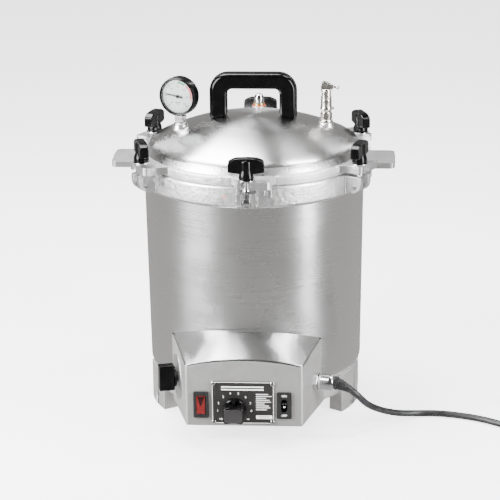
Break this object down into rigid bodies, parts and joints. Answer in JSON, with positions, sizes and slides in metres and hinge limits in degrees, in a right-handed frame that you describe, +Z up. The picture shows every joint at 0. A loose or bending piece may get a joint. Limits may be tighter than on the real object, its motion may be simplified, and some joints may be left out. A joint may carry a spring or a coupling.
{
  "type": "electric pressure canner",
  "caption": "Electric pressure canner: cast pot on a heated base with a front control box, domed lid held by swing bolts and wing nuts, gauge, valves, carrying handles and mains lead.",
  "frame": {"origin": "on the surface it stands on, under the middle of the canner without its mains lead; the pot axis is 26.5 mm behind it", "axes": "+Z up, -Y towards the front where the controls are, +X to the right seen from the front, where the mains lead leaves"},
  "size_m": [0.7199, 0.435, 0.4921],
  "materials": {
    "cast_aluminium": "turned, satin",
    "satin_casting": "satin casting",
    "rack_aluminium": "satin",
    "bright_steel": "bright",
    "chrome": "polished",
    "brass": "turned",
    "black_phenolic": "gloss",
    "dark_plastic": "matte",
    "dark_plate": "matte",
    "dial_white": "matte",
    "clear": "clear",
    "red_lens": "gloss",
    "cord_rubber": "satin"
  },
  "bodies": {
    "canner": {"pot": "cast_aluminium", "base_housing": "cast_aluminium", "selector_plate": "cast_aluminium", "side_handle_left": "satin_casting", "side_handle_right": "satin_casting", "bottom_cover": "satin_casting", "gland_nut": "bright_steel", "heating_element": "bright_steel", "element_clamp": "bright_steel", "thermostat_body": "bright_steel", "thermostat_sensor": "brass", "terminal_block": "dial_white", "switch_body": "dark_plastic", "lamp_body": "dark_plastic", "lamp_lens": "red_lens", "faceplate": "dark_plate", "gland_body": "chrome", "selector_switch": "dark_plastic", "power_cord": "cord_rubber", "cord_coil": "cord_rubber", "mains_plug": "cord_rubber", "faceplate_screw_1": "chrome", "faceplate_screw_2": "chrome", "faceplate_screw_3": "chrome", "faceplate_screw_4": "chrome", "clamp_pin_1": "bright_steel", "clamp_pin_2": "bright_steel", "clamp_pin_3": "bright_steel", "clamp_pin_4": "bright_steel", "clamp_pin_5": "bright_steel", "clamp_pin_6": "bright_steel"},
    "lid": {"lid": "cast_aluminium", "top_handle": "black_phenolic", "handle_bolt_left": "bright_steel", "handle_bolt_right": "bright_steel", "gauge_stem": "bright_steel", "gauge_case": "black_phenolic", "gauge_dial": "dial_white", "gauge_lens": "clear", "valve_body": "chrome", "relief_body": "brass"},
    "jar_rack": {"jar_rack": "rack_aluminium"},
    "gauge_needle": {"gauge_needle": "dark_plastic"},
    "valve_lever": {"valve_lever": "chrome"},
    "relief_cap": {"relief_cap": "chrome"},
    "thermostat_knob": {"thermostat_knob": "black_phenolic"},
    "selector_knob": {"selector_knob": "black_phenolic"},
    "switch_toggle": {"switch_toggle": "chrome"},
    "eye_bolt_1": {"eye_bolt_1": "chrome"},
    "wing_nut_1": {"wing_nut_1": "black_phenolic"},
    "eye_bolt_2": {"eye_bolt_2": "chrome"},
    "wing_nut_2": {"wing_nut_2": "black_phenolic"},
    "eye_bolt_3": {"eye_bolt_3": "chrome"},
    "wing_nut_3": {"wing_nut_3": "black_phenolic"},
    "eye_bolt_4": {"eye_bolt_4": "chrome"},
    "wing_nut_4": {"wing_nut_4": "black_phenolic"},
    "eye_bolt_5": {"eye_bolt_5": "chrome"},
    "wing_nut_5": {"wing_nut_5": "black_phenolic"},
    "eye_bolt_6": {"eye_bolt_6": "chrome"},
    "wing_nut_6": {"wing_nut_6": "black_phenolic"}
  },
  "joints": [
    {"name": "lid_lift", "type": "slide", "parent": "canner", "child": "lid", "axis": [0, 0, 1], "range_m": [0, 0.3]},
    {"name": "bolt_swing_1", "type": "hinge", "parent": "canner", "child": "eye_bolt_1", "pos_m": [0.15502, 0.116, 0.3485], "axis": [-0.5, 0.866, 0], "range_deg": [0, 111]},
    {"name": "bolt_swing_2", "type": "hinge", "parent": "canner", "child": "eye_bolt_2", "pos_m": [0, 0.2055, 0.3485], "axis": [-1, 0, 0], "range_deg": [0, 111]},
    {"name": "bolt_swing_3", "type": "hinge", "parent": "canner", "child": "eye_bolt_3", "pos_m": [-0.15502, 0.116, 0.3485], "axis": [-0.5, -0.866, 0], "range_deg": [0, 111]},
    {"name": "bolt_swing_4", "type": "hinge", "parent": "canner", "child": "eye_bolt_4", "pos_m": [-0.15502, -0.063, 0.3485], "axis": [0.5, -0.866, 0], "range_deg": [0, 111]},
    {"name": "bolt_swing_5", "type": "hinge", "parent": "canner", "child": "eye_bolt_5", "pos_m": [0, -0.1525, 0.3485], "axis": [1, 0, 0], "range_deg": [0, 111]},
    {"name": "bolt_swing_6", "type": "hinge", "parent": "canner", "child": "eye_bolt_6", "pos_m": [0.15502, -0.063, 0.3485], "axis": [0.5, 0.866, 0], "range_deg": [0, 111]},
    {"name": "wing_nut_spin_1", "type": "hinge", "parent": "lid", "child": "wing_nut_1", "pos_m": [0.15502, 0.116, 0.3808], "axis": [0, 0, 1], "continuous": true},
    {"name": "wing_nut_spin_2", "type": "hinge", "parent": "lid", "child": "wing_nut_2", "pos_m": [0, 0.2055, 0.3808], "axis": [0, 0, 1], "continuous": true},
    {"name": "wing_nut_spin_3", "type": "hinge", "parent": "lid", "child": "wing_nut_3", "pos_m": [-0.15502, 0.116, 0.3808], "axis": [0, 0, 1], "continuous": true},
    {"name": "wing_nut_spin_4", "type": "hinge", "parent": "lid", "child": "wing_nut_4", "pos_m": [-0.15502, -0.063, 0.3808], "axis": [0, 0, 1], "continuous": true},
    {"name": "wing_nut_spin_5", "type": "hinge", "parent": "lid", "child": "wing_nut_5", "pos_m": [0, -0.1525, 0.3808], "axis": [0, 0, 1], "continuous": true},
    {"name": "wing_nut_spin_6", "type": "hinge", "parent": "lid", "child": "wing_nut_6", "pos_m": [0.15502, -0.063, 0.3808], "axis": [0, 0, 1], "continuous": true},
    {"name": "gauge_needle_sweep", "type": "hinge", "parent": "lid", "child": "gauge_needle", "pos_m": [-0.106, 0.0185, 0.4591], "axis": [0.3469, 0.9379, 0], "range_deg": [0, 270]},
    {"name": "valve_lever_tip", "type": "hinge", "parent": "lid", "child": "valve_lever", "pos_m": [0.1055, 0.0345, 0.4635], "axis": [0, -1, 0], "range_deg": [0, 95]},
    {"name": "relief_cap_lift", "type": "slide", "parent": "lid", "child": "relief_cap", "axis": [0, 0, 1], "range_m": [0, 0.003], "stiffness_N_per_m": 2000},
    {"name": "thermostat_knob_turn", "type": "hinge", "parent": "canner", "child": "thermostat_knob", "pos_m": [-0.018, -0.1855, 0.055], "axis": [0, 1, 0], "range_deg": [0, 300]},
    {"name": "selector_knob_turn", "type": "hinge", "parent": "canner", "child": "selector_knob", "pos_m": [-0.10333, -0.12673, 0.08], "axis": [0.9635, 0.2676, 0], "range_deg": [0, 270]},
    {"name": "switch_toggle_flip", "type": "hinge", "parent": "canner", "child": "switch_toggle", "pos_m": [0.0522, -0.18, 0.061], "axis": [-1, 0, 0], "range_deg": [0, 32]},
    {"name": "rack_lift", "type": "slide", "parent": "canner", "child": "jar_rack", "axis": [0, 0, 1], "range_m": [0, 0.28]}
  ],
  "couplings": [
    {"joint": "bolt_swing_1", "follows": "lid_lift", "rad_per_m": 6.3995},
    {"joint": "bolt_swing_2", "follows": "lid_lift", "rad_per_m": 6.3995},
    {"joint": "bolt_swing_3", "follows": "lid_lift", "rad_per_m": 6.3995},
    {"joint": "bolt_swing_4", "follows": "lid_lift", "rad_per_m": 6.3995},
    {"joint": "bolt_swing_5", "follows": "lid_lift", "rad_per_m": 6.3995},
    {"joint": "bolt_swing_6", "follows": "lid_lift", "rad_per_m": 6.3995}
  ]
}
